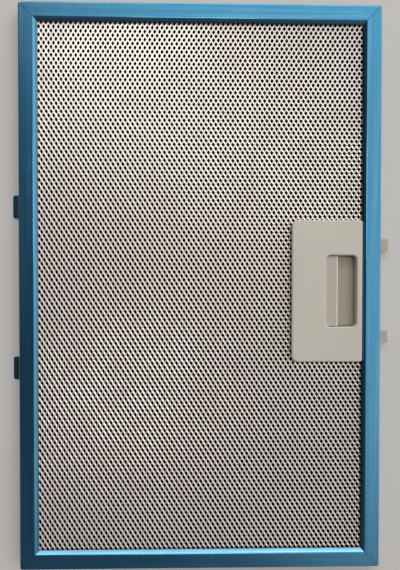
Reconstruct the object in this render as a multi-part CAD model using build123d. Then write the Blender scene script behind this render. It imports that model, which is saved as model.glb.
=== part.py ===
# Cooker hood grease filter: a mitred channel frame around a pack of expanded aluminium mesh,
# with a moulded handle whose sprung slider pushes two latch tongues out through the frame.
# Millimetres. X runs across the filter towards the latch, Y along it, Z from its rear face to
# its front face. The origin is at the middle of the footprint, on the plane of the rear face.
import os
from math import cos, hypot, radians, sin, tan

from build123d import *

# Frame
FRAME_WIDTH = 256.0
FRAME_LENGTH = 400.0
FRAME_DEPTH = 9.0
STRIP = 0.6  # thickness of the folded strip
FACE_WIDTH = 10.6  # flat face of each flange, from the outer edge to the lip
LIP_RUN = 2.2
LIP_DROP = 2.1
FOLD_RADIUS = 1.0  # outside of the long folds
CORNER_RADIUS = 1.4  # outside of the bends round the corners
MITRE_GAP = 0.24

# Hook tabs, cut out of the left side and folded out flat with the rear face
TAB_LENGTH = 16.4
TAB_SPACING = 116.0
TAB_REACH = 6.9
TAB_CORNER = 1.5
TAB_RELIEF = 0.5  # saw cut at each end of a tab

# Lap and rivet that close the strip at the top left corner
LAP_LENGTH = 13.0
LAP_HEIGHT = 6.0
LAP_GAP = 0.1
RIVET_SHANK = 3.0
RIVET_HEAD = 5.2
RIVET_HEAD_HEIGHT = 0.8
RIVET_TAIL = 4.4
RIVET_TAIL_HEIGHT = 0.5

# Mesh pack
EDGE_ROOM = 1.7  # from the pack's edge to the inside of the frame
SHEET_MESH = 1.0  # depth of an expanded sheet
DIAMOND_WIDTH = 36.0  # pitch of the diamonds across the filter
DIAMOND_LENGTH = 58.8  # pitch along the filter
STRAND = 6.4  # width of a strand at its foot
SELVAGE = 4.0  # plain edge of a sheet
SMALLEST_GAP = 0.12  # cut diamonds smaller than this share of a whole one stay closed
STRAND_SLOPE = 45.0  # slope of a strand's sides, in degrees
FOIL = 0.24
CRIMP_PITCH = 18.0
LAYER_ROOM = 0.05  # between neighbouring layers

# Handle cover
HANDLE_WIDTH = 50.4
HANDLE_LENGTH = 101.0
HANDLE_OFFSET = -2.2  # of the handle's middle, along the filter
HANDLE_TO_LIP = 0.2  # from the cover's edge to the frame's lip
COVER_SKIN = 1.8
COVER_INNER_CORNER = 4.4  # the two corners over the mesh
COVER_FRAME_CORNER = 1.8  # the two corners beside the frame
COVER_EDGE = 1.0  # rounding of the cover's outer edge
COVER_RIM = 1.9
WINDOW_LENGTH = 51.0
WINDOW_MARGIN = 4.0  # from the window to the cover's edge beside the frame
WINDOW_CORNER = 3.0
WINDOW_EDGE = 0.7
WINDOW_WALL = 1.1

# Latch housing
MESH_OVERLAP = 2.6  # how far the cover and the housing reach over the mesh
HOUSING_RECESS = 0.4  # of the housing's back, from the rear face
HOUSING_FLOOR = 1.0
HOUSING_WALL = 1.4
HOUSING_ROOM = 0.4  # around the walls, in the cut-out of the mesh
HOUSING_CORNER = 2.0

# Snap legs of the cover, in windows of the housing's walls
LEG_WIDTH = 6.0
LEG_THICKNESS = 1.2
LEG_FROM_ENDS = 11.0  # from the housing's inner ends to the middle of a leg
LEG_ROOM = 0.25
BARB_DEPTH = 1.0
BARB_HEIGHT = 1.4
BARB_LEVEL = 2.9  # from the underside of the cover's skin to the barb

# Latch slider
TRAVEL = 6.5
SLIDE_ROOM = 0.25
WELL_WIDTH = 12.8  # finger room between the grip and the window's far wall
WELL_FLOOR = 1.0
FLOOR_ROOM = 0.6  # around the well's floor
FLOOR_CORNER = 3.0
GRIP_WALL = 1.4
LEDGE = 1.0
LEDGE_SHOWN = 2.6  # part of the ledge that still shows at full travel
GRIP_ROUND = 0.9  # rounding of the grip's edge over the well
BAR_WIDTH = 6.0
BAR_HEIGHT = 1.5
RIB_WIDTH = 1.2
RIB_SPACING = 16.0
RIB_COUNT = 3
TONGUE_WIDTH = 8.3
TONGUE_SPACING = 66.2
TONGUE_THICKNESS = 2.2
TONGUE_REACH = 6.9
TONGUE_ROOM = 0.35  # around a tongue in its slot
NOSE_RAMP = 3.2
NOSE_TIP = 1.0
NOSE_ROUND = 0.4

# Latch springs
COIL_DIAMETER = 4.2
WIRE = 0.6
COIL_TURNS = 5
COIL_STEPS = 8  # straight runs that stand for one turn
COIL_LENGTH = 20.0
COIL_ROOM = 0.4  # around a coil, beside the slider's cross bar
PEG = 1.7  # side of the square pegs inside the coils
PEG_LENGTH = 3.0

# Levels and places that follow from the sizes above
half_width = FRAME_WIDTH / 2
half_length = FRAME_LENGTH / 2
lip_slant = hypot(LIP_RUN, LIP_DROP)
lip_depth = LIP_DROP + STRIP * LIP_RUN / lip_slant
mesh_front = FRAME_DEPTH - lip_depth
mesh_rear = lip_depth
lip_edge = half_width - FACE_WIDTH - LIP_RUN
pack_half_width = half_width - STRIP - EDGE_ROOM
pack_half_length = half_length - STRIP - EDGE_ROOM

handle_right = lip_edge - HANDLE_TO_LIP
handle_left = handle_right - HANDLE_WIDTH
handle_half = HANDLE_LENGTH / 2
cover_under = FRAME_DEPTH - COVER_SKIN
window_right = handle_right - WINDOW_MARGIN
window_left = window_right - WELL_WIDTH - TRAVEL - LEDGE_SHOWN
window_half = WINDOW_LENGTH / 2

cutout_left = handle_left + MESH_OVERLAP
cutout_half = handle_half - MESH_OVERLAP
wall_left = cutout_left + HOUSING_ROOM
wall_half = cutout_half - HOUSING_ROOM
inner_left = wall_left + HOUSING_WALL
inner_right = handle_right - HOUSING_WALL
inner_half = wall_half - HOUSING_WALL
housing_floor = HOUSING_RECESS + HOUSING_FLOOR

slider_base = housing_floor + SLIDE_ROOM
well_level = slider_base + WELL_FLOOR
bar_top = slider_base + BAR_HEIGHT
window_wall_foot = bar_top + SLIDE_ROOM
ledge_top = cover_under - SLIDE_ROOM
ledge_left = inner_left + TRAVEL + SLIDE_ROOM  # meets the housing's wall at full travel
grip_face = window_right - WELL_WIDTH
tongue_y = TONGUE_SPACING / 2
tongue_base = mesh_rear + TONGUE_ROOM
tongue_top = tongue_base + TONGUE_THICKNESS
tongue_end = half_width + TONGUE_REACH
arm_stop = inner_right - SLIDE_ROOM
spring_left = inner_left
spring_right = spring_left + COIL_LENGTH
spring_level = slider_base + COIL_DIAMETER / 2
arm_top = slider_base + COIL_DIAMETER
leg_places = (inner_left + LEG_FROM_ENDS, inner_right - LEG_FROM_ENDS)
barb_top = cover_under - BARB_LEVEL
barb_foot = barb_top - BARB_HEIGHT

# The footprint's middle is midway between the ends of the tabs and of the tongues
middle_shift = (TAB_REACH - TONGUE_REACH) / 2


def block(x0, x1, y0, y1, z0, z1):
    """Box between two opposite corners."""
    size = (x1 - x0, y1 - y0, z1 - z0)
    return Pos((x0 + x1) / 2, (y0 + y1) / 2, (z0 + z1) / 2) * Box(*size)


def plate(outline, z0, z1):
    """A flat outline given thickness between two levels."""
    return extrude(Pos(0, 0, z0) * outline, z1 - z0)


def rounded(x0, x1, y0, y1, corners):
    """Rectangle with a radius for each corner, from the lower left one round to the right."""
    places = ((x0, y0), (x1, y0), (x1, y1), (x0, y1))
    return make_face(FilletPolyline(*places, radius=corners, close=True))


def strip_section():
    """Section of the folded strip, at the origin: outer face on the YZ plane, inside along +X."""
    lip_end = FACE_WIDTH + LIP_RUN
    outside = FilletPolyline(
        (lip_end, 0, LIP_DROP),
        (FACE_WIDTH, 0, 0),
        (0, 0, 0),
        (0, 0, FRAME_DEPTH),
        (FACE_WIDTH, 0, FRAME_DEPTH),
        (lip_end, 0, FRAME_DEPTH - LIP_DROP),
        radius=FOLD_RADIUS,
    )
    flat = Plane.XZ.to_local_coords(outside)
    return Plane.XZ * make_face(offset(flat, STRIP, side=Side.RIGHT))


def rail(length, start_inset, end_inset):
    """One straight side of the frame along Y, its flanges mitred at both ends."""
    straight = length - start_inset - end_inset
    middle = (start_inset - end_inset) / 2
    body = extrude(strip_section(), straight / 2, both=True)
    body = Pos(0, middle, 0) * body
    deep = FACE_WIDTH + LIP_RUN + STRIP
    slit = MITRE_GAP / 2 * hypot(1, 1)
    for end in (-1, 1):
        tip = end * length / 2
        corner = Polyline(
            (STRIP, tip - end * (STRIP + slit)),
            (deep, tip - end * (deep + slit)),
            (deep, tip),
            (STRIP, tip),
            close=True,
        )
        body -= plate(make_face(corner), 0, FRAME_DEPTH)
    return body


def corner_bend(radius):
    """Quarter turn of the strip's web, centred on the Z axis in the quarter where X and Y are below 0."""
    ring = Circle(radius) - Circle(radius - STRIP)
    quarter = ring & Pos(-radius / 2, -radius / 2) * Rectangle(radius, radius)
    return plate(quarter, FOLD_RADIUS, FRAME_DEPTH - FOLD_RADIUS)


def hook_tab():
    """Tab folded out flat with the rear face, reaching in to the rear flange, centred on the X axis."""
    half = TAB_LENGTH / 2
    outline = rounded(-TAB_REACH, FOLD_RADIUS, -half, half, (TAB_CORNER, 0, 0, TAB_CORNER))
    return plate(outline, 0, STRIP)


def lap():
    """End of the top side, bent round the corner and laid inside the left side's web."""
    bend_x = -half_width + STRIP + LAP_GAP + CORNER_RADIUS
    bend_y = half_length - CORNER_RADIUS
    low = (FRAME_DEPTH - LAP_HEIGHT) / 2
    bend = Pos(bend_x, bend_y, 0) * Rot(0, 0, -90) * corner_bend(CORNER_RADIUS)
    bend &= block(-half_width, half_width, 0, half_length, low, low + LAP_HEIGHT)
    inside = -half_width + STRIP + LAP_GAP
    tongue = block(inside, inside + STRIP, bend_y - LAP_LENGTH, bend_y, low, low + LAP_HEIGHT)
    return bend + tongue


def rivet_seat():
    """Point on the outside of the left web where the closing rivet goes in."""
    return Pos(-half_width, half_length - CORNER_RADIUS - LAP_LENGTH / 2, FRAME_DEPTH / 2)


def along_x(radius, x0, x1):
    """Cylinder on the X axis between two places."""
    return Pos((x0 + x1) / 2, 0, 0) * Rot(0, 90, 0) * Cylinder(radius, x1 - x0)


def make_frame():
    """The whole folded strip: four rails, three corner bends, the lap, the tabs and the tongue slots."""
    lap_inset = CORNER_RADIUS + STRIP + LAP_GAP
    sides = (
        (Pos(-half_width, 0, 0), FRAME_LENGTH, CORNER_RADIUS, CORNER_RADIUS),
        (Pos(half_width, 0, 0) * Rot(0, 0, 180), FRAME_LENGTH, CORNER_RADIUS, CORNER_RADIUS),
        (Pos(0, -half_length, 0) * Rot(0, 0, 90), FRAME_WIDTH, CORNER_RADIUS, CORNER_RADIUS),
        (Pos(0, half_length, 0) * Rot(0, 0, -90), FRAME_WIDTH, lap_inset, CORNER_RADIUS),
    )
    frame = None
    for place, length, start, end in sides:
        side = place * rail(length, start, end)
        frame = side if frame is None else frame + side
    bend_x = half_width - CORNER_RADIUS
    bend_y = half_length - CORNER_RADIUS
    for x, y, turn in ((-bend_x, -bend_y, 0), (bend_x, -bend_y, 90), (bend_x, bend_y, 180)):
        frame += Pos(x, y, 0) * Rot(0, 0, turn) * corner_bend(CORNER_RADIUS)
    frame += lap()
    frame -= rivet_seat() * along_x(RIVET_SHANK / 2, -STRIP, FACE_WIDTH / 2)
    for y in (-TAB_SPACING / 2, TAB_SPACING / 2):
        half = TAB_LENGTH / 2 + TAB_RELIEF
        frame -= block(-half_width, -half_width + FOLD_RADIUS, y - half, y + half, 0, STRIP + TAB_REACH)
        frame += Pos(-half_width, y, 0) * hook_tab()
    for y in (-tongue_y, tongue_y):
        half = TONGUE_WIDTH / 2 + TONGUE_ROOM
        middle = HANDLE_OFFSET + y
        frame -= block(
            half_width - FOLD_RADIUS,
            half_width,
            middle - half,
            middle + half,
            tongue_base - TONGUE_ROOM,
            tongue_top + TONGUE_ROOM,
        )
    return frame


def make_rivet():
    """Closing rivet: flat head outside, shank through both layers, upset tail inside."""
    grip = 2 * STRIP + LAP_GAP
    body = along_x(RIVET_HEAD / 2, -RIVET_HEAD_HEIGHT, 0)
    body += along_x(RIVET_SHANK / 2, 0, grip)
    body += along_x(RIVET_TAIL / 2, grip, grip + RIVET_TAIL_HEIGHT)
    return rivet_seat() * body


def handle_cutout():
    """Notch in every layer of the pack where the latch housing and the tongues pass."""
    return block(
        cutout_left,
        half_width,
        HANDLE_OFFSET - cutout_half,
        HANDLE_OFFSET + cutout_half,
        0,
        FRAME_DEPTH,
    )


def diamond_centres():
    """Middles of the diamonds that reach into the sheet, in staggered rows."""
    rows = int(2 * pack_half_length / DIAMOND_LENGTH) + 1
    columns = int(pack_half_width / DIAMOND_WIDTH) + 1
    centres = []
    for row in range(-rows, rows + 1):
        shift = DIAMOND_WIDTH / 2 * (row % 2)
        for column in range(-columns, columns + 1):
            centres.append((column * DIAMOND_WIDTH + shift, row * DIAMOND_LENGTH / 2))
    return centres


def mesh_field():
    """Where a sheet is open: inside its selvage, and clear of the handle's cut-out."""
    half_x = pack_half_width - SELVAGE
    half_y = pack_half_length - SELVAGE
    field = block(-half_x, half_x, -half_y, half_y, 0, SHEET_MESH)
    notch_half = cutout_half + SELVAGE
    return field - block(
        cutout_left - SELVAGE,
        half_width,
        HANDLE_OFFSET - notch_half,
        HANDLE_OFFSET + notch_half,
        0,
        SHEET_MESH,
    )


def make_sheet_mesh(level):
    """Expanded sheet: diamonds opened between strands whose sides slope up to a narrow ridge."""
    half_x = DIAMOND_WIDTH / 2
    half_y = DIAMOND_LENGTH / 2
    inner_radius = half_x * half_y / hypot(half_x, half_y)
    foot = 1 - STRAND / 2 / inner_radius
    crest = foot + SHEET_MESH / tan(radians(STRAND_SLOPE)) / inner_radius

    def opening(share, z):
        corners = ((-half_x, 0), (0, -half_y), (half_x, 0), (0, half_y))
        scaled = [(x * share, y * share) for x, y in corners]
        return Pos(0, 0, z) * make_face(Polyline(*scaled, close=True))

    diamond = loft([opening(foot, 0), opening(crest, SHEET_MESH)])
    field = mesh_field()
    sheet = block(-pack_half_width, pack_half_width, -pack_half_length, pack_half_length, 0, SHEET_MESH)
    gaps = []
    for x, y in diamond_centres():
        for gap in ((Pos(x, y, 0) * diamond) & field).solids():
            if gap.volume > diamond.volume * SMALLEST_GAP:
                gaps.append(gap)
    sheet -= gaps
    return Pos(0, 0, level) * sheet - handle_cutout()


def make_foil(level, depth, turned):
    """Crimped foil layer: a zigzag section carried across the pack, or along it when turned."""
    run, across = pack_half_width, pack_half_length
    if turned:
        run, across = across, run
    folds = int(2 * run / CRIMP_PITCH) * 2
    step = 2 * run / folds
    rise = depth - FOIL
    lower = [(-run + step * i, rise * (i % 2)) for i in range(folds + 1)]
    upper = [(x, z + FOIL) for x, z in reversed(lower)]
    section = Plane.XZ * make_face(Polyline(*lower, *upper, close=True))
    layer = extrude(section, across, both=True)
    if turned:
        layer = Rot(0, 0, 90) * layer
    return Pos(0, 0, level) * layer - handle_cutout()


def handle_outline(inset):
    """Outline of the cover, drawn in from its edge by the inset."""
    corners = (COVER_INNER_CORNER, COVER_FRAME_CORNER, COVER_FRAME_CORNER, COVER_INNER_CORNER)
    return rounded(
        handle_left + inset,
        handle_right,
        -handle_half + inset,
        handle_half - inset,
        corners,
    )


def make_cover():
    """Front plate with its rim, the finger window and its walls, and four snap legs."""
    cover = plate(handle_outline(0), cover_under, FRAME_DEPTH)
    cover = fillet(cover.faces().sort_by(Axis.Z)[-1].edges(), COVER_EDGE)
    cover += plate(handle_outline(0) - handle_outline(COVER_RIM), mesh_front, cover_under)
    out = WINDOW_WALL
    corner = WINDOW_CORNER + out
    around = rounded(
        window_left, window_right + out, -window_half - out, window_half + out, (0, corner, corner, 0)
    )
    cover += plate(around, window_wall_foot, cover_under)
    hole = rounded(window_left, window_right, -window_half, window_half, (WINDOW_CORNER,) * 4)
    cover -= plate(hole, 0, FRAME_DEPTH)
    cover -= block(
        window_left - out, window_left + WINDOW_CORNER, -window_half, window_half, 0, cover_under
    )
    rim = cover.faces().sort_by(Axis.Z)[-1].inner_wires()[0].edges()
    cover = chamfer(rim, WINDOW_EDGE)
    for x in leg_places:
        for side in (-1, 1):
            cover += snap_leg(x, side)
    return Pos(0, HANDLE_OFFSET, 0) * cover


def snap_leg(x, side):
    """Leg inside the housing's wall, with a sloped barb that catches in the wall's window."""
    outer = inner_half - LEG_ROOM
    barb = outer + LEG_ROOM + BARB_DEPTH
    section = Polyline(
        (side * (outer - LEG_THICKNESS), cover_under),
        (side * (outer - LEG_THICKNESS), barb_foot),
        (side * outer, barb_foot),
        (side * barb, barb_top),
        (side * outer, barb_top),
        (side * outer, cover_under),
        close=True,
    )
    leg = extrude(Plane.YZ * make_face(section), LEG_WIDTH / 2, both=True)
    return Pos(x, 0, 0) * leg


def spring_peg(x0, x1):
    """Square peg on the X axis that keeps a coil's end in place."""
    return block(x0, x1, -PEG / 2, PEG / 2, -PEG / 2, PEG / 2)


def make_housing():
    """Tray behind the cover: clamping flange, walls, tongue gates, leg windows and spring pegs."""
    corners = (HOUSING_CORNER, COVER_FRAME_CORNER, COVER_FRAME_CORNER, HOUSING_CORNER)
    back = plate(handle_outline(0), HOUSING_RECESS, mesh_rear)
    back = chamfer(back.faces().sort_by(Axis.Z)[0].edges(), HOUSING_FLOOR / 2)
    walls = rounded(wall_left, handle_right, -wall_half, wall_half, corners)
    room = rounded(inner_left, inner_right, -inner_half, inner_half, (COVER_FRAME_CORNER,) * 4)
    housing = back + plate(walls, mesh_rear, cover_under) - plate(room, housing_floor, cover_under)
    gate = TONGUE_WIDTH / 2 + TONGUE_ROOM
    for y in (-tongue_y, tongue_y):
        housing -= block(inner_right, handle_right, y - gate, y + gate, mesh_rear, cover_under)
        housing += Pos(0, y, spring_level) * spring_peg(inner_left, inner_left + PEG_LENGTH)
    half = LEG_WIDTH / 2 + LEG_ROOM
    for x in leg_places:
        housing -= block(
            x - half, x + half, -wall_half, wall_half, barb_foot - LEG_ROOM, barb_top + LEG_ROOM
        )
    return Pos(0, HANDLE_OFFSET, 0) * housing


def slider_arm(side):
    """Arm with the spring seat at one end and the ramped latch tongue at the other."""
    ramp_start = tongue_end - NOSE_RAMP
    profile = Polyline(
        (spring_right, slider_base),
        (arm_stop, slider_base),
        (arm_stop, tongue_base),
        (ramp_start, tongue_base),
        (tongue_end, tongue_top - NOSE_TIP),
        (tongue_end, tongue_top),
        (spring_right + BAR_WIDTH, tongue_top),
        (spring_right + BAR_WIDTH, arm_top),
        (spring_right, arm_top),
        close=True,
    )
    arm = extrude(Plane.XZ * make_face(profile), TONGUE_WIDTH / 2, both=True)
    tip = arm.edges().filter_by(Axis.Y).sort_by(Axis.X)[-2:].sort_by(Axis.Z)[-1]
    arm = fillet(tip, NOSE_ROUND)
    arm += Pos(0, 0, spring_level) * spring_peg(spring_right - PEG_LENGTH, spring_right)
    return Pos(0, side * tongue_y, 0) * arm


def make_slider():
    """Ledge, grip and well floor seen in the window, carried by a cross bar between the two arms."""
    half = window_half - 2 * SLIDE_ROOM
    grip_back = grip_face - GRIP_WALL
    bar_left = grip_face - BAR_WIDTH
    bar_half = tongue_y - COIL_DIAMETER / 2 - COIL_ROOM
    slider = block(bar_left, grip_face, -bar_half, bar_half, slider_base, bar_top)
    slider += block(grip_back, grip_face, -half, half, slider_base, ledge_top)
    slider += block(ledge_left, grip_face, -half, half, ledge_top - LEDGE, ledge_top)
    edge = slider.edges().filter_by(Axis.Y).group_by(Axis.Z)[-1].sort_by(Axis.X)[-1]
    slider = fillet(edge, GRIP_ROUND)
    floor_half = window_half - FLOOR_ROOM
    floor = rounded(
        bar_left, window_right - FLOOR_ROOM, -floor_half, floor_half, (0, FLOOR_CORNER, FLOOR_CORNER, 0)
    )
    slider += plate(floor, slider_base, well_level)
    for i in range(RIB_COUNT):
        y = (i - (RIB_COUNT - 1) / 2) * RIB_SPACING
        slider += block(bar_left, grip_back, y - RIB_WIDTH / 2, y + RIB_WIDTH / 2, bar_top, ledge_top - LEDGE)
    for side in (-1, 1):
        slider += slider_arm(side)
    return Pos(0, HANDLE_OFFSET, 0) * slider


def make_spring(side):
    """Coil spring between the housing's wall and a slider arm, its turns made of short straight runs."""
    radius = (COIL_DIAMETER - WIRE) / 2
    rise = (COIL_LENGTH - WIRE) / (COIL_TURNS * COIL_STEPS)
    turn = radians(360 / COIL_STEPS)
    places = range(COIL_TURNS * COIL_STEPS + 1)
    path = Polyline(*[(rise * i, radius * cos(turn * i), radius * sin(turn * i)) for i in places])
    section = Plane(origin=path @ 0, z_dir=path % 0) * RegularPolygon(WIRE / 2, 4)
    coil = sweep(section, path, transition=Transition.RIGHT)
    return Pos(spring_left + WIRE / 2, HANDLE_OFFSET + side * tongue_y, spring_level) * coil


def make_parts():
    """Every piece of the filter, by name."""
    foil_room = mesh_front - mesh_rear - 2 * SHEET_MESH
    foil_pitch = (foil_room - LAYER_ROOM) / 3
    foil_depth = foil_pitch - LAYER_ROOM
    foil_level = mesh_rear + SHEET_MESH + LAYER_ROOM
    return {
        "frame": make_frame(),
        "corner_rivet": make_rivet(),
        "front_mesh": make_sheet_mesh(mesh_front - SHEET_MESH),
        "inner_mesh_front": make_foil(foil_level + 2 * foil_pitch, foil_depth, False),
        "inner_mesh_middle": make_foil(foil_level + foil_pitch, foil_depth, True),
        "inner_mesh_rear": make_foil(foil_level, foil_depth, False),
        "rear_mesh": make_sheet_mesh(mesh_rear),
        "handle_cover": make_cover(),
        "latch_housing": make_housing(),
        "latch_slider": make_slider(),
        "latch_spring_upper": make_spring(1),
        "latch_spring_lower": make_spring(-1),
    }


os.makedirs("parts", exist_ok=True)
for name, shape in make_parts().items():
    export_step(Pos(middle_shift, 0, 0) * shape, f"parts/{name}.step")
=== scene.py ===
"""Looks of a cooker hood grease filter: film on the folded frame, fine expanded sheets in place of
the coarse ones of the solids, foil layers painted dark as shade, moulded handle and latch, and a plain
stage."""

from math import radians

import bpy
import numpy as np
from bpy.props import FloatProperty, FloatVectorProperty, PointerProperty
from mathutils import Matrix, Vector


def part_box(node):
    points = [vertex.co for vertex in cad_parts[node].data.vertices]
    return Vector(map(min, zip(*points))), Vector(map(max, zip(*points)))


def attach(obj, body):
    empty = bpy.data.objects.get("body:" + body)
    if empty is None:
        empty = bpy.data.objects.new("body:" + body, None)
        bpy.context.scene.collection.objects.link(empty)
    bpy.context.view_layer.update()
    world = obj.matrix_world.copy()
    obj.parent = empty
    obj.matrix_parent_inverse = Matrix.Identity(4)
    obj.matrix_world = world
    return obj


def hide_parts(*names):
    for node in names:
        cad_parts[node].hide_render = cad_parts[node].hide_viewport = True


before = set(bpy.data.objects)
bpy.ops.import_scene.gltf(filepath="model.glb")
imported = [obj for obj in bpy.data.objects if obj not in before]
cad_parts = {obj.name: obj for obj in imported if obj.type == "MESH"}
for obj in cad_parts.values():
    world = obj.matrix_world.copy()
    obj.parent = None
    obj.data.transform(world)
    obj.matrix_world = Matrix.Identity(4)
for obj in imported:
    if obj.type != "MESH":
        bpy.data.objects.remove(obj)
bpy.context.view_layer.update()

bl_info = {
    "name": "Cooker hood filter",
    "version": (1, 0, 0),
    "blender": (4, 5, 0),
    "location": "3D View > Sidebar > Filter",
    "description": "Dresses the packed solids of a cooker hood grease filter",
    "category": "Object",
}

FIXED_BODY = "filter"


def length(name, description, default):
    """A size in metres that the user may change."""
    return FloatProperty(
        name=name, description=description, default=default, min=0.0, precision=5, unit="LENGTH"
    )


def share(name, description, default):
    """A number between 0 and 1 that the user may change."""
    return FloatProperty(
        name=name, description=description, default=default, min=0.0, max=1.0, subtype="FACTOR"
    )


def colour(name, description, default):
    """A linear colour that the user may change."""
    return FloatVectorProperty(
        name=name, description=description, default=default, size=3, min=0.0, max=1.0, subtype="COLOR"
    )


class FilterSheetSettings(bpy.types.PropertyGroup):
    """Weave of the expanded sheets and the tone of the metal inside the frame."""

    pitch_across: length("Pitch across", "From one diamond to the next across the filter", 0.00347)
    pitch_along: length("Pitch along", "From one diamond to the next along the filter", 0.00566)
    knot_across: length("Knot across", "Half the width of a knot", 0.00054)
    knot_along: length("Knot along", "Half the length of a knot", 0.00108)
    knot_blunt: length("Knot blunt", "Half the length of a knot's raised edge", 0.00032)
    knot_rise: length("Knot rise", "How far a knot's raised edge stands above its middle", 0.00030)
    thickness: length("Thickness", "Depth of the metal under the middle of a knot", 0.00034)
    metal: colour("Sheet metal", "Bright rolled aluminium", (0.775, 0.718, 0.645))
    # Painted shade: the foil's near-black colour stands for the shade in the depth of the pack.
    foil: colour("Foil", "Foil layers inside the pack", (0.0020, 0.0018, 0.0016))


class FilterFilmSettings(bpy.types.PropertyGroup):
    """Blue peel-off film on the frame."""

    film: colour("Film", "Film over brushed aluminium", (0.002, 0.232, 0.430))
    film_worn: colour("Rubbed film", "Film where it is rubbed pale", (0.070, 0.310, 0.485))
    roughness: share("Film roughness", "Spread of the reflections in the metal", 0.20)
    rivet: colour("Rivet", "Bare aluminium of the rivet", (0.72, 0.72, 0.71))


class FilterPlasticSettings(bpy.types.PropertyGroup):
    """Moulded handle and latch."""

    cover: colour("Cover", "Warm grey of the cover", (0.565, 0.540, 0.455))
    # The slider's tone, darker than the cover's, is partly its own and partly painted shade of the
    # recess it sits in.
    slider: colour("Slider", "Warm grey of the slider and the housing", (0.455, 0.420, 0.352))
    roughness: share("Plastic roughness", "Spread of the reflections in the plastic", 0.38)
    # Painted shade: the darker, warmer tone of the slider in the depth of the well.
    well_shade: colour("Shaded slider", "Slider in the depth of the well", (0.355, 0.312, 0.228))
    # Painted highlight: the pale tone of the cover's rims and the grip's edge.
    rubbed: colour("Rubbed edges", "Rims and grip, rubbed pale by fingers", (0.660, 0.625, 0.540))
    spring: colour("Spring", "Bright spring wire", (0.58, 0.57, 0.55))


class FilterStageSettings(bpy.types.PropertyGroup):
    """Floor, light and camera."""

    floor: colour("Floor", "Plain pale floor", (0.620, 0.600, 0.570))
    lamp_power: FloatProperty(
        name="Lamp power", description="Power of both lamps together", default=6.9, min=0.0, unit="POWER"
    )
    room_light: FloatProperty(
        name="Room light", description="Strength of the light of the room", default=1.0, min=0.0
    )


class FilterSettings(bpy.types.PropertyGroup):
    """All settings of the filter."""

    sheets: PointerProperty(type=FilterSheetSettings)
    film: PointerProperty(type=FilterFilmSettings)
    plastic: PointerProperty(type=FilterPlasticSettings)
    stage: PointerProperty(type=FilterStageSettings)


def settings():
    """The settings that the panel shows."""
    return bpy.context.scene.hood_filter


# Node helpers


class Finish:
    """A node material: a principled surface and short ways to feed it."""

    def __init__(self, name):
        self.material = bpy.data.materials.new(name)
        self.material.use_nodes = True
        self.tree = self.material.node_tree
        self.surface = self.tree.nodes["Principled BSDF"]
        self.place = self.tree.nodes.new("ShaderNodeTexCoord").outputs["Object"]

    def link(self, source, target):
        """Joins an output to an input."""
        self.tree.links.new(source, target)

    def feed(self, socket, value):
        """Puts a number, a colour or another node's output into a socket."""
        if isinstance(value, bpy.types.NodeSocket):
            self.link(value, socket)
        else:
            socket.default_value = value

    def set(self, **sockets):
        """Sets sockets of the surface by name, with spaces written as underscores."""
        for name, value in sockets.items():
            self.feed(self.surface.inputs[name.replace("_", " ")], value)

    def axes(self):
        """The three object coordinates, one by one."""
        node = self.tree.nodes.new("ShaderNodeSeparateXYZ")
        self.link(self.place, node.inputs["Vector"])
        return node.outputs["X"], node.outputs["Y"], node.outputs["Z"]

    def stretched(self, scale):
        """Object coordinates stretched along each axis."""
        node = self.tree.nodes.new("ShaderNodeMapping")
        node.inputs["Scale"].default_value = scale
        self.link(self.place, node.inputs["Vector"])
        return node.outputs["Vector"]

    def grain(self, scale, stretch=None, detail=2.0, rough=0.5):
        """Noise of a scale, in waves to the metre, stretched if wanted."""
        node = self.tree.nodes.new("ShaderNodeTexNoise")
        node.inputs["Scale"].default_value = scale
        node.inputs["Detail"].default_value = detail
        node.inputs["Roughness"].default_value = rough
        self.link(self.stretched(stretch) if stretch else self.place, node.inputs["Vector"])
        return node.outputs["Fac"]

    def sum(self, operation, *values):
        """One step of arithmetic."""
        node = self.tree.nodes.new("ShaderNodeMath")
        node.operation = operation
        for socket, value in zip(node.inputs, values):
            self.feed(socket, value)
        return node.outputs["Value"]

    def fit(self, value, low, high, to_low, to_high):
        """Carries a range over to another one, held at its ends."""
        node = self.tree.nodes.new("ShaderNodeMapRange")
        for socket, number in zip(node.inputs, (value, low, high, to_low, to_high)):
            self.feed(socket, number)
        return node.outputs["Result"]

    def mix(self, kind, factor, first, second):
        """Mixes two values of a kind."""
        node = self.tree.nodes.new("ShaderNodeMix")
        node.data_type = kind
        for name, value in (("Factor", factor), ("A", first), ("B", second)):
            self.feed(node.inputs[name], value)
        return node.outputs["Result"]

    def blend(self, factor, first, second):
        """Mixes two colours."""
        return self.mix("RGBA", factor, first, second)

    def mottle(self, noise, span, most, first, second):
        """Blends a second colour in over a span of a noise, up to the share that is given as most."""
        return self.blend(self.fit(noise, *span, 0.0, most), first, rgba(second))

    def relief(self, height, depth, strength, under=None):
        """Bump of a height field, its depth in metres, on top of another bump if one is given."""
        node = self.tree.nodes.new("ShaderNodeBump")
        node.inputs["Distance"].default_value = depth
        node.inputs["Strength"].default_value = strength
        self.link(height, node.inputs["Height"])
        if under is not None:
            self.link(under, node.inputs["Normal"])
        return node.outputs["Normal"]


def rgba(value):
    """A colour with full opacity."""
    return (*value, 1.0)


def scaled(value, factor):
    """A colour made lighter or darker."""
    return tuple(min(1.0, part * factor) for part in value)


def wear(node, finish):
    """Gives a solid of the frame one finish."""
    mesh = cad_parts[node].data
    mesh.materials.clear()
    mesh.materials.append(finish)


# Finishes

# Spans of a noise: most of it, its upper part, and its peaks
MOST = (0.3, 0.7)
UPPER = (0.35, 0.7)
PEAKS = (0.66, 0.8)

FRAME_HALF_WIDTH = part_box("frame")[1].x
FRAME_HALF_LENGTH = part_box("frame")[1].y
# Brushing of the frame: waves to the metre across and along, for its fine lines and for rubbed streaks
FINE_LINES = (2600.0, 30.0)
FINE_LINE_DEPTH = 0.00004
STREAKS = (420.0, 9.0)
STREAK_SPAN = (0.42, 0.72)
# Faint waves of the film: how many to the metre, and their depth
FILM_WAVES = 55.0
FILM_WAVE_DEPTH = 0.0006
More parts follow.
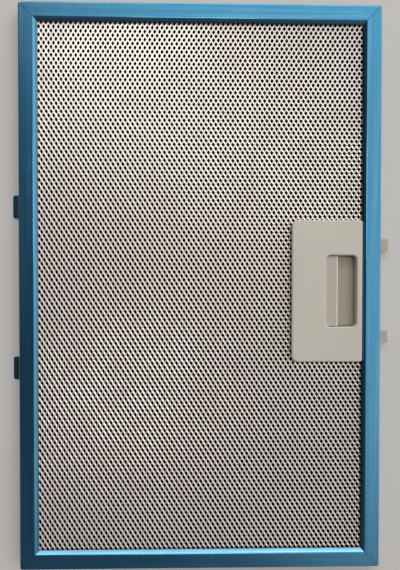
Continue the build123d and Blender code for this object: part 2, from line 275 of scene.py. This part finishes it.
# Painted shade on the lower half of the lips and on the hook tabs: the spans, measured inwards from
# the frame's outside, over which it sets in, how much of it there is, and how dark it paints the film
LIP_SPAN = (0.0112, 0.0124)
TAB_SPAN = (-0.0008, 0.0)
SHADE_SHARE = 0.7
SHADE_TONE = 0.15


def film_finish(chosen):
    """Blue film on brushed aluminium: the brushing runs along each side of the frame up to its
    mitres, with rubbed streaks, and the film lies on it in faint waves. Painted shade darkens the
    lower half of the lips and the hook tabs."""
    made = Finish("filmed_aluminium")
    x, y, _ = made.axes()
    from_side = made.sum("SUBTRACT", FRAME_HALF_WIDTH, made.sum("ABSOLUTE", x))
    from_end = made.sum("SUBTRACT", FRAME_HALF_LENGTH, made.sum("ABSOLUTE", y))
    upright = made.sum("LESS_THAN", from_side, from_end)

    def brushed(across, along):
        """Noise drawn out along the nearest side of the frame."""
        down = made.grain(1.0, (across, along, across), detail=3.0, rough=0.6)
        level = made.grain(1.0, (along, across, across), detail=3.0, rough=0.6)
        return made.mix("FLOAT", upright, level, down)

    fine = brushed(*FINE_LINES)
    streak = brushed(*STREAKS)
    wave = made.grain(FILM_WAVES)
    tone = made.mottle(streak, STREAK_SPAN, 0.9, rgba(chosen.film), chosen.film_worn)
    tone = made.mottle(fine, MOST, 0.22, tone, scaled(chosen.film, 0.55))
    inward = made.sum("MINIMUM", from_side, from_end)
    # Painted shade on the lips' lower half and on the hook tabs.
    lip = made.fit(inward, *LIP_SPAN, 0.0, SHADE_SHARE)
    tab = made.fit(from_side, *TAB_SPAN, SHADE_SHARE, 0.0)
    shade = made.sum("MAXIMUM", lip, tab)
    tone = made.blend(shade, tone, rgba(scaled(chosen.film, SHADE_TONE)))
    made.set(Base_Color=tone, Metallic=1.0)
    dull = made.sum("ADD", made.fit(fine, *MOST, -0.05, 0.07), made.fit(wave, *MOST, -0.03, 0.03))
    made.set(Roughness=made.sum("ADD", dull, chosen.roughness))
    made.set(Coat_Weight=1.0, Coat_Roughness=0.08, Coat_IOR=1.7)
    soft = made.relief(wave, FILM_WAVE_DEPTH, 0.10)
    made.set(Normal=made.relief(fine, FINE_LINE_DEPTH, 0.35, soft), Coat_Normal=soft)
    return made.material


# Scratches of the rivet: waves to the metre along each axis, and their depth
SCRATCHES = (900.0, 5200.0, 700.0)
SCRATCH_DEPTH = 0.00003


def rivet_finish(chosen):
    """Bare aluminium, dulled and finely scratched."""
    made = Finish("rivet_aluminium")
    scratch = made.grain(1.0, SCRATCHES, detail=3.0)
    tone = made.mottle(scratch, UPPER, 0.5, rgba(chosen.rivet), scaled(chosen.rivet, 0.7))
    made.set(Base_Color=tone, Metallic=1.0, Roughness=made.fit(scratch, *MOST, 0.28, 0.48))
    made.set(Normal=made.relief(scratch, SCRATCH_DEPTH, 0.3))
    return made.material


# Face mark of the expanded sheets: 1 on the walls inside the diamonds, and the tone of those walls,
# painted dark as shade
WALL_MARK = "wall"
WALL_SHADE_TONE = 0.05
# Sheet metal: waves to the metre of its dull patches and its specks
PATCHES = 45.0
SPECKS = 1500.0
SPECK_SPAN = (0.4, 0.75)


def sheet_finish(chosen):
    """Rolled aluminium of the expanded sheets, with patches of duller metal, and painted shade
    that darkens the walls inside the diamonds."""
    made = Finish("mesh_aluminium")
    patch = made.grain(PATCHES, detail=3.0)
    speck = made.grain(SPECKS)
    tone = made.mottle(patch, UPPER, 0.35, rgba(chosen.metal), scaled(chosen.metal, 0.86))
    tone = made.mottle(speck, SPECK_SPAN, 0.3, tone, scaled(chosen.metal, 0.72))
    wall = made.tree.nodes.new("ShaderNodeAttribute")
    wall.attribute_name = WALL_MARK
    # Painted shade: the walls inside the diamonds take a near-black share of the metal.
    tone = made.blend(wall.outputs["Fac"], tone, rgba(scaled(chosen.metal, WALL_SHADE_TONE)))
    dull = made.sum("ADD", made.fit(speck, *MOST, 0.29, 0.39), made.fit(patch, *MOST, -0.03, 0.05))
    made.set(Base_Color=tone, Metallic=0.8, Roughness=dull)
    return made.material


# Creases of the foil: waves to the metre, and their depth
CREASES = 160.0
CREASE_DEPTH = 0.0002


def foil_finish(chosen):
    """Foil of the inner layers, painted near black as shade in the depth of the pack."""
    made = Finish("foil_aluminium")
    crease = made.grain(CREASES, detail=3.0)
    tone = made.mottle(crease, UPPER, 0.6, rgba(chosen.foil), scaled(chosen.foil, 0.5))
    made.set(Base_Color=tone, Metallic=0.3, Specular_IOR_Level=0.1)
    made.set(Roughness=made.fit(crease, *MOST, 0.45, 0.65))
    made.set(Normal=made.relief(crease, CREASE_DEPTH, 0.3))
    return made.material


# The grip's edge over the well: its place across the filter, its height and the breadth of its painted
# highlight
GRIP_EDGE = 0.0982
GRIP_TOP = 0.00695
GRIP_HIGHLIGHT_BREADTH = 0.0016
# Painted highlight on the cover's rounded rims: how far under its face it starts, its depth, the fade at
# both ends, and its share
RIM_START = 0.00004
RIM_DEPTH = 0.0008
RIM_FADE = 0.0002
RIM_HIGHLIGHT_SHARE = 0.6
RIM_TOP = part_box("handle_cover")[1].z - RIM_START
RIM_FOOT = RIM_TOP - RIM_DEPTH


def grip_highlight(made, across, height):
    """Share of painted highlight on the slider: the edge of the grip over the well."""
    at_edge = made.fit(across, GRIP_EDGE - GRIP_HIGHLIGHT_BREADTH, GRIP_EDGE - GRIP_HIGHLIGHT_BREADTH / 2, 0.0, 1.0)
    at_top = made.fit(height, GRIP_TOP - GRIP_HIGHLIGHT_BREADTH, GRIP_TOP - GRIP_HIGHLIGHT_BREADTH / 2, 0.0, 1.0)
    return made.sum("MULTIPLY", at_edge, at_top)


def rim_highlight(made, across, height):
    """Share of painted highlight on the cover: the rounded rims just under its face."""
    under = made.fit(height, RIM_TOP - RIM_FADE, RIM_TOP, 1.0, 0.0)
    over = made.fit(height, RIM_FOOT - RIM_FADE, RIM_FOOT, 0.0, RIM_HIGHLIGHT_SHARE)
    return made.sum("MULTIPLY", under, over)


# Moulded plastic: waves to the metre of its sparked grain, its flow marks and its dust, and depths
MOULD_GRAIN = 2600.0
MOULD_GRAIN_DEPTH = 0.00003
FLOW_MARKS = (26.0, 14.0, 26.0)
FLOW_DEPTH = 0.0004
DUST = 700.0
# Painted shade in the finger well, warm and clouded: the heights between which it fades out, and its
# clouds to the metre
WELL_SHADE_SPAN = (0.0030, 0.0060)
WELL_SHADE_CLOUDS = 90.0


def plastic_finish(name, tone, roughness, rubbed, highlight_at, well_shade=None):
    """Moulded plastic with the fine sparked grain of its mould and faint flow marks, and a pale painted
    highlight where the given share asks for it. Where one is given, a warm painted shade lies in the
    depth of the well."""
    made = Finish(name)
    grain = made.grain(MOULD_GRAIN, rough=0.55)
    flow = made.grain(1.0, FLOW_MARKS, detail=3.0)
    dust = made.grain(DUST, detail=3.0, rough=0.7)
    mixed = made.mottle(flow, MOST, 1.0, rgba(scaled(tone, 1.03)), scaled(tone, 0.95))
    mixed = made.mottle(dust, PEAKS, 0.35, mixed, scaled(tone, 0.7))
    across, _, height = made.axes()
    if well_shade is not None:
        # Painted shade in the depth of the well, clouded with noise.
        low = made.fit(height, *WELL_SHADE_SPAN, 1.0, 0.0)
        cloud = made.fit(made.grain(WELL_SHADE_CLOUDS, detail=3.0), *MOST, 0.8, 1.0)
        mixed = made.blend(made.sum("MULTIPLY", low, cloud), mixed, rgba(well_shade))
    # Painted highlight on the rims and the grip's edge.
    mixed = made.blend(highlight_at(made, across, height), mixed, rgba(rubbed))
    made.set(Base_Color=mixed, Specular_IOR_Level=0.5)
    made.set(Roughness=made.sum("ADD", made.fit(grain, *MOST, -0.05, 0.06), roughness))
    soft = made.relief(flow, FLOW_DEPTH, 0.08)
    made.set(Normal=made.relief(grain, MOULD_GRAIN_DEPTH, 0.25, soft))
    return made.material


# Drawing marks of the spring wire, in waves to the metre
DRAWING_MARKS = 2400.0


def spring_finish(chosen):
    """Drawn spring wire, with fine drawing marks."""
    made = Finish("spring_steel")
    drawn = made.grain(DRAWING_MARKS, detail=3.0)
    tone = made.mottle(drawn, UPPER, 0.6, rgba(chosen.spring), scaled(chosen.spring, 0.7))
    made.set(Base_Color=tone, Metallic=1.0, Roughness=made.fit(drawn, *MOST, 0.22, 0.4))
    return made.material


# Expanded sheets

# How far the cover and the housing reach over the cut edge of the sheets
HANDLE_LAP = 0.0026


def lattice(chosen, node, opening):
    """Middles of the knots, on a staggered lattice: every second crossing of columns half a pitch
    apart with rows half a pitch apart, inside the sheet's box and clear of the opening.
    Gives the number of each knot on the grid, or -1, and the places."""
    low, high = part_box(node)
    step_x, step_y = chosen.pitch_across / 2, chosen.pitch_along / 2
    reach_x = max(abs(low.x), abs(high.x))
    reach_y = max(abs(low.y), abs(high.y))
    columns = int(reach_x / step_x) + 1
    rows = int(reach_y / step_y) + 1
    u, v = np.meshgrid(np.arange(-columns, columns + 1), np.arange(-rows, rows + 1), indexing="ij")
    x, y = u * step_x, v * step_y
    there = (u + v) % 2 == 0
    there &= np.abs(x) <= reach_x - chosen.knot_across
    there &= np.abs(y) <= reach_y - chosen.knot_along
    left, bottom, top = opening
    inside = x > left - chosen.knot_across
    inside &= y > bottom - chosen.knot_along
    inside &= y < top + chosen.knot_along
    there &= ~inside
    number = np.full(u.shape, -1)
    number[there] = np.arange(there.sum())
    return number, np.stack([x[there], y[there]], axis=1)


def beside(number, du, dv):
    """The number of the knot so many columns and rows away from each knot, or -1."""
    padded = np.pad(number, 1, constant_values=-1)
    shifted = padded[1 + du : 1 + du + number.shape[0], 1 + dv : 1 + dv + number.shape[1]]
    return shifted[number >= 0]


# Points of a knot: the corners of its pentagon, and the root behind its middle
NORTH, UPPER_LEFT, LOWER_LEFT, SOUTH, EAST, ROOT = range(6)


def expanded_sheet(name, node, opening, outward):
    """Expanded metal as whole arrays. A knot is a pentagon that leans to the right: its blunt left
    edge is raised and its right corner lowered by the same rise, and its upper and lower corners lie
    between. A strand joins a slanting side of a knot to the facing side of its neighbour up or down
    to the right. The back of every knot is one root under its middle, and the back of every strand is
    the line between two roots, so each edge of a diamond has one wall down to that line."""
    chosen = settings().sheets
    low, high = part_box(node)
    rise = min(chosen.knot_rise, (high.z - low.z) / 2)
    number, middles = lattice(chosen, node, opening)
    across, along, blunt = chosen.knot_across, chosen.knot_along, chosen.knot_blunt
    corners = np.array(
        [
            [0, along, 0],
            [-across, blunt, rise],
            [-across, -blunt, rise],
            [0, -along, 0],
            [across, 0, -rise],
            [0, 0, -chosen.thickness],
        ]
    )
    places = np.zeros((len(middles), len(corners), 3))
    places[..., :2] = middles[:, None, :]
    places += corners
    places[..., 2] = places[..., 2] * outward + (low.z + high.z) / 2
    points = places.reshape(-1, 3)

    def corner(knots, which):
        """Numbers of one point of each knot."""
        return knots * len(corners) + which

    def ring(*points_of):
        """Rings of points, each given as knots and which of their points."""
        return np.stack([corner(knots, which) for knots, which in points_of], axis=1)

    faces, plans, marks = [], [], []

    def add(rings, plan, mark):
        """Keeps faces with their flat layout and their mark."""
        faces.append(rings)
        plans.append(plan)
        marks.append(np.full(len(rings), mark))

    def top(*corners_of):
        """Faces of the outer side, laid out flat as they are seen."""
        rings = ring(*corners_of)
        add(rings, points[rings][..., :2], 0.0)

    def wall(first, second, hollow):
        """Faces from an edge down to the roots, laid out flat inside the diamond beside the edge."""
        ends = points[ring(first, second)][..., :2]
        feet = (ends + hollow[:, None, :]) / 2
        if first[0] is second[0]:
            plan = np.concatenate([feet.mean(axis=1, keepdims=True), ends[:, ::-1]], axis=1)
            add(ring((first[0], ROOT), second, first), plan, 1.0)
        else:
            plan = np.concatenate([feet, ends[:, ::-1]], axis=1)
            add(ring((first[0], ROOT), (second[0], ROOT), second, first), plan, 1.0)

    knots = np.arange(len(middles))
    half_x, half_y = chosen.pitch_across / 2, chosen.pitch_along / 2
    top((knots, NORTH), (knots, UPPER_LEFT), (knots, LOWER_LEFT), (knots, SOUTH), (knots, EAST))
    wall((knots, UPPER_LEFT), (knots, LOWER_LEFT), middles + (-half_x, 0))
    above = beside(number, 1, 1)
    here, there = knots[above >= 0], above[above >= 0]
    top((here, NORTH), (here, EAST), (there, SOUTH), (there, LOWER_LEFT))
    wall((here, EAST), (there, SOUTH), middles[here] + (half_x, 0))
    wall((there, LOWER_LEFT), (here, NORTH), middles[here] + (0, half_y))
    below = beside(number, 1, -1)
    here, there = knots[below >= 0], below[below >= 0]
    top((here, EAST), (here, SOUTH), (there, UPPER_LEFT), (there, NORTH))
    wall((here, SOUTH), (there, UPPER_LEFT), middles[here] + (0, -half_y))
    wall((there, NORTH), (here, EAST), middles[here] + (half_x, 0))
    for du, dv, first, second in (
        (1, 1, EAST, NORTH),
        (-1, 1, NORTH, UPPER_LEFT),
        (-1, -1, LOWER_LEFT, SOUTH),
        (1, -1, SOUTH, EAST),
    ):
        bare = knots[beside(number, du, dv) < 0]
        wall((bare, first), (bare, second), middles[bare] + (du * half_x, dv * half_y))
    if outward < 0:
        faces = [rings[:, ::-1] for rings in faces]
        plans = [plan[:, ::-1] for plan in plans]
    return sheet_piece(name, points, faces, plans, np.concatenate(marks))


def sheet_piece(name, points, faces, plans, marks):
    """Puts the arrays of a sheet into a mesh, with its flat layout as the map for baking."""
    sizes = np.concatenate([np.full(len(rings), rings.shape[1]) for rings in faces])
    order = np.concatenate([rings.ravel() for rings in faces])
    flat = np.concatenate([plan.reshape(-1, 2) for plan in plans])
    mesh = bpy.data.meshes.new(name)
    mesh.vertices.add(len(points))
    mesh.loops.add(len(order))
    mesh.polygons.add(len(sizes))
    mesh.vertices.foreach_set("co", points.astype(np.float32).ravel())
    mesh.loops.foreach_set("vertex_index", order.astype(np.int32))
    mesh.polygons.foreach_set("loop_start", (np.cumsum(sizes) - sizes).astype(np.int32))
    mesh.update(calc_edges=True)
    mesh.shade_flat()
    flat = (flat - flat.min(axis=0)) / np.ptp(flat, axis=0).max()
    layer = mesh.uv_layers.new(name="OFBake")
    layer.uv.foreach_set("vector", flat.astype(np.float32).ravel())
    mark = mesh.attributes.new(WALL_MARK, "FLOAT", "FACE")
    mark.data.foreach_set("value", marks.astype(np.float32))
    mesh.validate()
    piece = bpy.data.objects.new(name, mesh)
    bpy.context.scene.collection.objects.link(piece)
    return piece


# Operators


class FILTER_OT_frame(bpy.types.Operator):
    """Puts the film on the folded frame and bare metal on its rivet"""

    bl_idname = "hood_filter.frame"
    bl_label = "Frame"

    def execute(self, context):
        chosen = settings().film
        wear("frame", film_finish(chosen))
        wear("corner_rivet", rivet_finish(chosen))
        return {"FINISHED"}


class FILTER_OT_sheets(bpy.types.Operator):
    """Makes the two fine expanded sheets that stand for the coarse ones"""

    bl_idname = "hood_filter.sheets"
    bl_label = "Expanded sheets"

    def execute(self, context):
        finish = sheet_finish(settings().sheets)
        low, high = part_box("handle_cover")
        opening = (low.x + HANDLE_LAP, low.y + HANDLE_LAP, high.y - HANDLE_LAP)
        for name, node, outward in (
            ("expanded_front", "front_mesh", 1),
            ("expanded_rear", "rear_mesh", -1),
        ):
            piece = expanded_sheet(name, node, opening, outward)
            piece.data.materials.append(finish)
            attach(piece, FIXED_BODY)
            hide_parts(node)
        return {"FINISHED"}


class FILTER_OT_foils(bpy.types.Operator):
    """Paints the foil layers between the sheets near black, as shade in the depth of the pack"""

    bl_idname = "hood_filter.foils"
    bl_label = "Foil layers"

    def execute(self, context):
        finish = foil_finish(settings().sheets)
        for place in ("front", "middle", "rear"):
            wear(f"inner_mesh_{place}", finish)
        return {"FINISHED"}


class FILTER_OT_handle(bpy.types.Operator):
    """Gives the cover, the housing and the slider their moulded plastic"""

    bl_idname = "hood_filter.handle"
    bl_label = "Handle and latch"

    def execute(self, context):
        chosen = settings().plastic
        # The rims and the grip's edge carry a painted highlight, the well a painted shade.
        cover = plastic_finish("handle_plastic", chosen.cover, chosen.roughness, chosen.rubbed, rim_highlight)
        inner = plastic_finish(
            "slider_plastic", chosen.slider, chosen.roughness, chosen.rubbed, grip_highlight, chosen.well_shade
        )
        wear("handle_cover", cover)
        wear("latch_housing", cover)
        wear("latch_slider", inner)
        return {"FINISHED"}


class FILTER_OT_springs(bpy.types.Operator):
    """Gives the latch springs their wire"""

    bl_idname = "hood_filter.springs"
    bl_label = "Latch springs"

    def execute(self, context):
        finish = spring_finish(settings().plastic)
        wear("latch_spring_upper", finish)
        wear("latch_spring_lower", finish)
        return {"FINISHED"}


# Stage

# Floor: half its side, and its level just under the filter
FLOOR_HALF = 3.0
FLOOR_LEVEL = -0.0002
# Camera: height of its picture and focal length in pixels, sensor in millimetres, place in metres,
# turn in degrees, and where its view starts
PICTURE_HEIGHT = 570
FOCAL_PIXELS = 430
SENSOR = 36.0
CAMERA_PLACE = (-0.0060, 0.0060, 0.3127)
CAMERA_TURN = (-0.734, -0.997, 0.056)
CAMERA_NEAR = 0.01
# Brightness of the room against how far a direction leans towards the light side
LIGHT_SIDE = (0.90, 0.43, 0.0)
LIGHT_STEPS = (
    (-1.00, 0.08),
    (-0.46, 0.09),
    (-0.30, 0.12),
    (-0.20, 0.20),
    (-0.12, 0.30),
    (-0.05, 0.62),
    (0.02, 0.82),
    (0.12, 0.96),
    (0.30, 1.03),
    (0.60, 1.03),
    (0.85, 1.30),
    (1.00, 1.40),
)
# Share of the near end's own level, against how far a direction leans towards that end
NEAR_END = (0.0, -1.0, 0.0)
NEAR_STEPS = (
    (0.10, 0.00),
    (0.40, 0.16),
    (0.52, 0.50),
    (0.75, 0.75),
)
NEAR_LEVEL = 0.20
# Tint of the room: none where it is light, and a faint one under this level
UNTINTED = (1.0, 1.0, 1.0)
DARK_LEVEL = 0.5
DARK_TINT = (1.04, 0.97, 1.06)
# Lamps: name, place, width, height, share of the power
LAMPS = (
    ("top_lamp", (0.00, 0.27, 1.27), 0.40, 0.40, 0.24),
    ("far_lamp", (0.12, 1.15, 0.90), 2.00, 0.28, 0.76),
)


def make_floor(chosen):
    """A flat square, wide enough to fill every view."""
    side = np.array([-FLOOR_HALF, FLOOR_HALF])
    x, y = np.meshgrid(side, side)
    points = np.stack([x.ravel(), y.ravel(), np.full(4, FLOOR_LEVEL)], axis=1)
    mesh = bpy.data.meshes.new("floor")
    mesh.from_pydata(points, [], [(0, 1, 3, 2)])
    made = Finish("floor_paint")
    made.set(Base_Color=rgba(chosen.floor), Roughness=0.85, Specular_IOR_Level=0.2)
    mesh.materials.append(made.material)
    floor = bpy.data.objects.new("floor", mesh)
    bpy.context.scene.collection.objects.link(floor)


def room_ramp(tree, side, steps, tint):
    """Level of a direction of the room, from how far it leans towards one side, with a tint where
    the level is low."""
    place = tree.nodes.new("ShaderNodeTexCoord")
    lean = tree.nodes.new("ShaderNodeVectorMath")
    lean.operation = "DOT_PRODUCT"
    lean.inputs[1].default_value = side
    tree.links.new(place.outputs["Generated"], lean.inputs[0])
    spread = tree.nodes.new("ShaderNodeMapRange")
    spread.inputs["From Min"].default_value = -1.0
    spread.inputs["From Max"].default_value = 1.0
    tree.links.new(lean.outputs["Value"], spread.inputs["Value"])
    ramp = tree.nodes.new("ShaderNodeValToRGB")
    marks = ramp.color_ramp.elements
    while len(marks) < len(steps):
        marks.new(0.5)
    for mark, (where, level) in zip(marks, steps):
        mark.position = (where + 1) / 2
        shade = tint if level < DARK_LEVEL else UNTINTED
        mark.color = rgba([level * part for part in shade])
    tree.links.new(spread.outputs["Result"], ramp.inputs["Fac"])
    return ramp.outputs["Color"]


def make_room(chosen):
    """Room light that grows towards the light side and fades towards the near end."""
    world = bpy.data.worlds.new("room")
    bpy.context.scene.world = world
    world.use_nodes = True
    tree = world.node_tree
    both = tree.nodes.new("ShaderNodeMix")
    both.data_type = "RGBA"
    tree.links.new(room_ramp(tree, NEAR_END, NEAR_STEPS, UNTINTED), both.inputs["Factor"])
    tree.links.new(room_ramp(tree, LIGHT_SIDE, LIGHT_STEPS, DARK_TINT), both.inputs["A"])
    both.inputs["B"].default_value = rgba([NEAR_LEVEL * part for part in DARK_TINT])
    light = tree.nodes["Background"]
    light.inputs["Strength"].default_value = chosen.room_light
    tree.links.new(both.outputs["Result"], light.inputs["Color"])


def make_lamps(chosen):
    """A soft lamp overhead, and a slim one beyond the far end."""
    for name, place, width, height, part in LAMPS:
        lamp = bpy.data.lights.new(name, "AREA")
        lamp.energy = chosen.lamp_power * part
        lamp.shape = "RECTANGLE"
        lamp.size, lamp.size_y = width, height
        holder = bpy.data.objects.new(name, lamp)
        holder.location = place
        holder.rotation_mode = "QUATERNION"
        holder.rotation_quaternion = holder.location.to_track_quat("Z", "Y")
        bpy.context.scene.collection.objects.link(holder)


def make_camera():
    """Camera above the filter, nearly straight over its middle."""
    data = bpy.data.cameras.new("camera")
    data.sensor_width = SENSOR
    data.lens = SENSOR * FOCAL_PIXELS / PICTURE_HEIGHT
    data.clip_start = CAMERA_NEAR
    camera = bpy.data.objects.new("camera", data)
    camera.location = CAMERA_PLACE
    camera.rotation_euler = [radians(turn) for turn in CAMERA_TURN]
    bpy.context.scene.collection.objects.link(camera)
    bpy.context.scene.camera = camera


class FILTER_OT_stage(bpy.types.Operator):
    """Sets up the floor, the light and the camera"""

    bl_idname = "hood_filter.stage"
    bl_label = "Stage"

    def execute(self, context):
        chosen = settings().stage
        make_floor(chosen)
        make_room(chosen)
        make_lamps(chosen)
        make_camera()
        context.scene.view_settings.view_transform = "Standard"
        return {"FINISHED"}


OPERATORS = (
    FILTER_OT_stage,
    FILTER_OT_frame,
    FILTER_OT_sheets,
    FILTER_OT_foils,
    FILTER_OT_handle,
    FILTER_OT_springs,
)


class FILTER_PT_sidebar(bpy.types.Panel):
    """Lists the steps that dress the filter, and their settings"""

    bl_idname = "FILTER_PT_sidebar"
    bl_label = "Cooker hood filter"
    bl_space_type = "VIEW_3D"
    bl_region_type = "UI"
    bl_category = "Filter"

    def draw(self, context):
        for operator in OPERATORS:
            self.layout.operator(operator.bl_idname)
        chosen = context.scene.hood_filter
        for group in (chosen.sheets, chosen.film, chosen.plastic, chosen.stage):
            box = self.layout.box()
            for name in group.bl_rna.properties.keys():
                if name not in ("rna_type", "name"):
                    box.prop(group, name)


CLASSES = (
    FilterSheetSettings,
    FilterFilmSettings,
    FilterPlasticSettings,
    FilterStageSettings,
    FilterSettings,
    *OPERATORS,
    FILTER_PT_sidebar,
)


def register():
    """Registers the classes and hangs the settings on the scene."""
    for cls in CLASSES:
        bpy.utils.register_class(cls)
    bpy.types.Scene.hood_filter = PointerProperty(type=FilterSettings)


def unregister():
    """Takes the settings and the classes away again."""
    del bpy.types.Scene.hood_filter
    for cls in reversed(CLASSES):
        bpy.utils.unregister_class(cls)


def main():
    """Runs every step in order."""
    register()
    bpy.ops.hood_filter.stage()
    bpy.ops.hood_filter.frame()
    bpy.ops.hood_filter.sheets()
    bpy.ops.hood_filter.foils()
    bpy.ops.hood_filter.handle()
    bpy.ops.hood_filter.springs()


if __name__ == "__main__":
    main()
